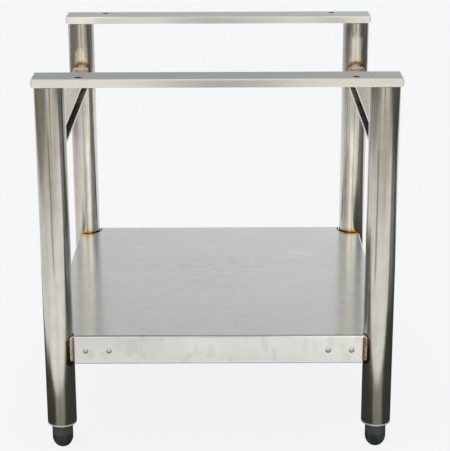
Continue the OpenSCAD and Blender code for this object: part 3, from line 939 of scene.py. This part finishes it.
BAND_WAVER, BAND_WAVERS = 0.10, (0, 0, 7)
# A painted reflection: how far above the side channel each leg has a paler, warmer patch, and
# how bright it is
LEG_SHEEN_PATCH = {"front_left": (0.02, 1.2), "front_right": (0.02, 1.2),
           "back_left": (0.036, 1.22), "back_right": (0.064, 1.30)}
SHEEN_TINT = (1, 0.98, 0.93)
SHEEN_HALF_WIDTH, SHEEN_BELOW = 0.012, 0.02
SHEEN_EDGE = (0.0025, -0.0025)
# The patch runs out upward, over more length than its other edges take
SHEEN_RUN_OUT = 0.35
SHEEN_RAGGED, SHEEN_RAGS = 0.014, (200, 200, 60)
SHEEN_ROUGHER = 0.14
FACING_Y = (0.0, 0.004)
# Painted shade in the gaps of the shelf's notches: heights on the leg, the angle of its middle
# and half its span on the front legs, and its distance from the axis and how far inward it
# starts on the back legs
NOTCH_SHADE_LOW_Z = (SHELF_TOP - 0.016, SHELF_TOP - 0.013)
NOTCH_SHADE_FRONT_Z = (SHELF_TOP + 0.0025, SHELF_TOP + 0.0005)
NOTCH_SHADE_BACK_Z = (SHELF_TOP + 0.0042, SHELF_TOP + 0.0015)
NOTCH_SHADE_ANGLE_DEG, NOTCH_SHADE_SPAN = {"front_left": -14, "front_right": -166}, (0.62, 0.54)
NOTCH_SHADE_OFF_AXIS = (LEG_R + 0.0055, LEG_R + 0.0040)
NOTCH_SHADE_INWARD = (0.007, 0.013)


def back_notch_shade(s, point, corner):
    """How much painted shade a point gets in the notch gap beside a back leg, on its inner side.
    """
    axis = leg_axis(corner)
    to_middle = 1 if axis.x < 0 else -1
    inward = s.math("MULTIPLY", s.math("SUBTRACT", s.parts(point)["X"], axis.x), to_middle)
    return s.both(s.map(distance_level(s, point, axis), *NOTCH_SHADE_OFF_AXIS),
                  s.map(inward, *NOTCH_SHADE_INWARD))


def leg_finish(corner, sy):
    """Painted reflections up the leg: darker and paler bands, and a paler, warmer patch above the
    side channel's weld; and painted shade in the gap of the shelf's notch.
    """
    axis = leg_axis(corner)
    reach, gain = LEG_SHEEN_PATCH[corner]

    def extra(s, point, look):
        colour = look["Base Color"]
        parts = s.parts(s.vector("SUBTRACT", point, axis))
        angle = s.math("ARCTAN2", parts["Y"], parts["X"])
        waver = s.swing(s.noise(s.stretch(point, BAND_WAVERS, (2.2, 5.1, 0.3))), BAND_WAVER)
        # Painted reflections: darker and paler bands up the leg
        for middle, half, keep, low, high in LEG_REFLECTION_BANDS[corner]:
            off = s.away(s.math("ADD", angle, waver), math.radians(middle))
            band = s.both(s.step(off, math.radians(2 * half), 0.0),
                          s.step(parts["Z"], low, low + BAND_FADE),
                          s.step(parts["Z"], high, high - BAND_FADE))
            cast = BAND_COOL if keep < 1 else BAND_WARM
            colour = s.tint(band, colour, tuple(keep * c for c in cast))
        # A painted reflection: a paler, warmer patch above the side channel's weld
        ragged = s.swing(s.noise(s.stretch(point, SHEEN_RAGS), detail=3), SHEEN_RAGGED)
        over = s.math("SUBTRACT", s.math("ABSOLUTE", parts["X"]), SHEEN_HALF_WIDTH)
        above = s.math("MULTIPLY", s.math("SUBTRACT", parts["Z"], SIDE_TOP + reach),
                       SHEEN_RUN_OUT)
        below = s.math("SUBTRACT", SIDE_LOW - SHEEN_BELOW, parts["Z"])
        off = s.math("ADD", s.math("MAXIMUM", over, s.math("MAXIMUM", above, below)), ragged)
        facing = s.map(s.math("MULTIPLY", parts["Y"], -sy), *FACING_Y)
        sheen = s.both(s.map(off, *SHEEN_EDGE), facing)
        look["Base Color"] = s.tint(sheen, colour, tuple(gain * c for c in SHEEN_TINT))
        look["Roughness"] = s.math("MULTIPLY_ADD", sheen, SHEEN_ROUGHER, look["Roughness"])
        # Painted shade in the gap of the shelf's notch round the leg
        if sy < 0:
            aside = s.away(angle, math.radians(NOTCH_SHADE_ANGLE_DEG[corner]))
            top, where = NOTCH_SHADE_FRONT_Z, s.map(aside, *NOTCH_SHADE_SPAN)
        else:
            top, where = NOTCH_SHADE_BACK_Z, back_notch_shade(s, point, corner)
        notch_shade = s.both(s.map(parts["Z"], *NOTCH_SHADE_LOW_Z), s.map(parts["Z"], *top), where)
        soil_and_shade(s, look, notch_shade, NOTCH_PAINTED_SHADE)
    return extra


# Shelf

# Kinds of mark: their spread to a metre, the noise's offset, the noise between which they fade
# in, and how much of the tone they keep
FINGER_MARKS = ((40, 75, 0), (1.3, 8.8, 0), (0.50, 0.62), (0.93, 0.93, 0.945))
SCRATCHES = ((22, 170, 0), (6.1, 2.2, 0), (0.44, 0.54), (1.10, 1.10, 1.09))
SKIRT_MARKS = ((34, 0, 26), (4.1, 0, 2.6), (0.545, 0.60), (0.93, 0.92, 0.91))
# Where the marks and scratches on the top are, how far they reach, and the scratches' direction
HANDLED_AT, HANDLED_REACH = (-0.02, 0.03), 0.15
SCRATCHED_AT, SCRATCHED_REACH = (0.162, 0.130), 0.045
SCRATCH_TURN = math.radians(-35)
PATCH_CORE = 0.3
TOP_FACE_Z = (SHELF_TOP - 0.0006, SHELF_TOP - 0.0002)
# The front skirt, its folds, and how its painted light and shade run: from where to where, and
# the values there
SKIRT_Y = (-SHELF_Y + 0.0042, -SHELF_Y + 0.0030)
# A painted dark reflection along the skirt's top fold
DARK_FOLD_Z, FOLD_PAINTED_SHADE = (SHELF_TOP - 0.0016, SHELF_TOP - 0.0010), (0.50, 0.50, 0.50)
SCUFFED_Z = (SHELF_LOW + 0.0070, SHELF_LOW + 0.0012)
SCUFFED_METALLIC = 0.45
SKIRT_SHADE_Z = (SHELF_TOP - 0.01, SHELF_LOW, 0.965, 1.02)
DULLER_X, DULLER_Z = (-0.01, -0.17), (SHELF_LOW, SHELF_TOP, 0.10, 0.21)
BRIGHTER_X, BRIGHTER = 0.01, (0.03, 0.14, 0.06, 0.0)
SKIRT_SMOOTHER = -0.05
SHELF_FOLD_X = SHELF_X - 0.0012


def marks(s, look, point, where, kind):
    """Smudges or scratches inside a mask."""
    spread, offset, between_values, keep = kind
    patch = s.noise(s.stretch(point, spread, offset), detail=2, roughness=0.55)
    mask = s.both(s.step(patch, *between_values), where)
    look["Base Color"] = s.tint(mask, look["Base Color"], keep)


def near(s, point, at, reach):
    """1 in the middle of a round patch, seen from above, and 0 outside it."""
    return s.step(distance_level(s, point, at), reach, reach * PATCH_CORE)


def shelf_finish(s, point, look):
    """Finger marks, a few scratches, and painted shade at the back notches on top. The front skirt
    has marks too, a painted dark reflection in its top fold, and painted light and shade: brighter
    towards the bottom and the middle, darker at the left. The bottom folds are scuffed."""
    parts = s.parts(point)
    top = s.map(parts["Z"], *TOP_FACE_Z)
    marks(s, look, point, s.both(top, near(s, point, HANDLED_AT, HANDLED_REACH)), FINGER_MARKS)
    cosine, sine = math.cos(SCRATCH_TURN), math.sin(SCRATCH_TURN)
    turned = s.node("CombineXYZ", {0: s.vector("DOT_PRODUCT", point, (cosine, sine, 0)),
                                   1: s.vector("DOT_PRODUCT", point, (-sine, cosine, 0))})
    marks(s, look, turned.outputs[0],
          s.both(top, near(s, point, SCRATCHED_AT, SCRATCHED_REACH)), SCRATCHES)
    skirt = s.map(parts["Y"], *SKIRT_Y)
    # A painted dark reflection in the top fold
    dark_fold = s.both(skirt, s.map(parts["Z"], *DARK_FOLD_Z))
    # Painted light and shade on the skirt: brighter towards the bottom and the middle, darker at
    # the left
    duller = s.both(s.step(parts["X"], *DULLER_X), s.map(parts["Z"], *DULLER_Z))
    brighter = s.map(s.away(parts["X"], BRIGHTER_X), *BRIGHTER, smooth=True)
    skirt_shade = s.math("ADD", s.math("SUBTRACT", s.map(parts["Z"], *SKIRT_SHADE_Z), duller), brighter)
    colour = s.tint(skirt, look["Base Color"], s.grey(skirt_shade))
    look["Base Color"] = s.tint(dark_fold, colour, FOLD_PAINTED_SHADE)
    look["Roughness"] = s.math("MULTIPLY_ADD", skirt, SKIRT_SMOOTHER, look["Roughness"])
    marks(s, look, point, skirt, SKIRT_MARKS)
    scuffed = s.map(parts["Z"], *SCUFFED_Z)
    look["Metallic"] = s.map(scuffed, 0.0, 1.0, 1.0, SCUFFED_METALLIC)
    # Painted shade in the notch gaps at the back legs
    for corner in ("back_left", "back_right"):
        soil_and_shade(s, look, s.both(back_notch_shade(s, point, corner), top), NOTCH_PAINTED_SHADE)


def dress_legs():
    for corner, sx, sy in CORNERS:
        seams = side_rail_seams(corner, sx, sy) + notch_seams(corner, sx, sy)
        burnt = shelf_angle_seams(corner, sx, sy)
        dress("leg_" + corner, steel("leg_steel_" + corner, LEG_TONE, 0.17, ALONG_Z, seams, burnt,
                                     streak=0.26, mottle=0.34, extra=leg_finish(corner, sy)))


def dress_sheet():
    for end in ENDS:
        dress("top_rail_" + end,
              steel("rail_steel_" + end, RAIL_TONE, 0.29, ALONG_X, streak=0.10,
                    extra=rail_finish(end), brushed=X_AXIS, stretch=0.85))
    for side in SIDES:
        dress("side_rail_" + side,
              steel("side_steel_" + side, SIDE_TONE, 0.36, ALONG_Y, mottle=0.14,
                    extra=side_finish(side), brushed=Y_AXIS, stretch=0.8))
    tacked = [seam for corner in CORNERS for seam in notch_seams(*corner)]
    dress("shelf_pan", steel("shelf_steel", SHELF_TONE, 0.265, ALONG_X, tacked, cloud=0.16,
                             streak=0.035, brushed=X_AXIS, stretch=0.93, relief=0.03, shine=0.03,
                             mottle=0.12, fold=SHELF_FOLD_X, extra=shelf_finish))
    dress("shelf_stiffener", steel("stiffener_steel", SIDE_TONE, 0.3, ALONG_X))
    for corner, sx, sy in CORNERS:
        burnt = shelf_angle_seams(corner, sx, sy)
        dress("shelf_bracket_" + corner,
              steel("angle_steel_" + corner, SIDE_TONE, 0.3, ALONG_X, burnt=burnt))


# Welds

WELD_PATCHES = (240, 240, 160)
WELD_MIDDLE_X = (-0.01, 0.01)
# Their roughness rises between these values of the noise, by so much
WELD_ROUGH_PATCH, WELD_ROUGHER = (0.2, 0.8), 0.2
SCALE_BROWN = [(0.30, (0.20, 0.12, 0.08)), (0.40, (0.50, 0.40, 0.30)), (0.50, (0.76, 0.73, 0.69)),
               (0.75, (0.66, 0.63, 0.64))]
SCALE_COPPER = [(0.30, (0.25, 0.14, 0.07)), (0.46, (0.50, 0.32, 0.19)), (0.58, (0.66, 0.45, 0.35)),
                (0.75, (0.80, 0.62, 0.52))]
SCALE_PINK = [(0.30, (0.36, 0.26, 0.19)), (0.44, (0.62, 0.53, 0.46)), (0.75, (0.74, 0.69, 0.66))]
BARE_WELD = [(0.3, (0.40, 0.38, 0.35)), (0.7, (0.66, 0.65, 0.62))]


def weld_metal(name, left_scale, right_scale, rough):
    """Weld beads: metal with scale in patches, of one kind on the left and one on the right."""
    material, s = new_material(name)
    point = s.node("TexCoord").outputs["Object"]
    patches = s.noise(s.stretch(point, WELD_PATCHES), detail=3)
    right = s.map(s.parts(point)["X"], *WELD_MIDDLE_X)
    colour = s.mix(right, s.ramp(patches, left_scale), s.ramp(patches, right_scale))
    roughness = s.map(patches, *WELD_ROUGH_PATCH, rough, rough + WELD_ROUGHER)
    s.principled({"Base Color": colour, "Metallic": 1.0, "Roughness": roughness})
    return material


WELD_SEED = 7
BEAD_SHARP_DEG, THREAD_SHARP_DEG = 50, 35


def dress_welds():
    random = Random(WELD_SEED)
    for node, beads, scales in (
            ("side_rail_welds", side_rail_beads, (SCALE_BROWN, SCALE_BROWN, 0.16)),
            ("shelf_bracket_welds", shelf_angle_beads, (SCALE_PINK, SCALE_COPPER, 0.30)),
            ("top_rail_welds", top_rail_beads, (BARE_WELD, BARE_WELD, 0.2))):
        material = weld_metal(node, *scales)
        dress(node, material)
        replacement(node, "rippled_" + node, *joined(beads(random)), material, "stand",
                    "weld_metal", BEAD_SHARP_DEG)


# Feet, inserts and fasteners

MOULD_GRAIN, MOULD_GRAIN_HEIGHT, MOULD_RELIEF = (1800, 1800, 1800), 0.06 * MM, 0.3
DUST_PATCHES, DUST_TONE = (90, 90, 60), (0.062, 0.061, 0.055)
# How much dust lies, and how rough the plastic is, by the noise
DUST_SHARE, MOULD_ROUGH = (0.2, 0.7, 0.5, 1.0), (0.2, 0.8, 0.36, 0.55)
NYLON = [(0.3, (0.014, 0.019, 0.026)), (0.7, (0.036, 0.044, 0.053))]
# The feet are dusty above their groove, which is 24 mm high
DUSTY_Z = (23.2 * MM, 24.8 * MM)


def moulded_plastic(name):
    material, s = new_material(name)
    point = s.node("TexCoord").outputs["Object"]
    grain = s.noise(s.stretch(point, MOULD_GRAIN), detail=2)
    dust = s.noise(s.stretch(point, DUST_PATCHES), detail=3)
    dusty = s.both(s.step(s.parts(point)["Z"], *DUSTY_Z), s.map(dust, *DUST_SHARE))
    colour = s.mix(dusty, s.ramp(dust, NYLON), DUST_TONE)
    bump = s.node("Bump", {"Strength": MOULD_RELIEF, "Distance": MOULD_GRAIN_HEIGHT,
                           "Height": grain})
    s.principled({"Base Color": colour, "Normal": bump.outputs[0],
                  "Roughness": s.map(dust, *MOULD_ROUGH)})
    return material


def dress_small_parts():
    zinc = steel("zinc_steel", ZINC_TONE, 0.42, EVEN_GRAIN, metallic=0.6)
    nylon = moulded_plastic("moulded_nylon")
    dress("shelf_screws", steel("screw_steel", SCREW_TONE, 0.44, EVEN_GRAIN))
    dress("shelf_nuts", zinc)
    for corner, _, _ in CORNERS:
        dress("foot_insert_" + corner, zinc)
        dress("foot_" + corner, nylon)
        stud = "foot_stud_" + corner
        dress(stud, zinc)
        replacement(stud, "threaded_" + stud, *threaded_stud(stud), zinc,
                    "levelling_foot_" + corner, "stud_steel", THREAD_SHARP_DEG)


dress_legs()
dress_sheet()
dress_welds()
dress_small_parts()

bpy.context.scene.view_settings.view_transform = "Standard"
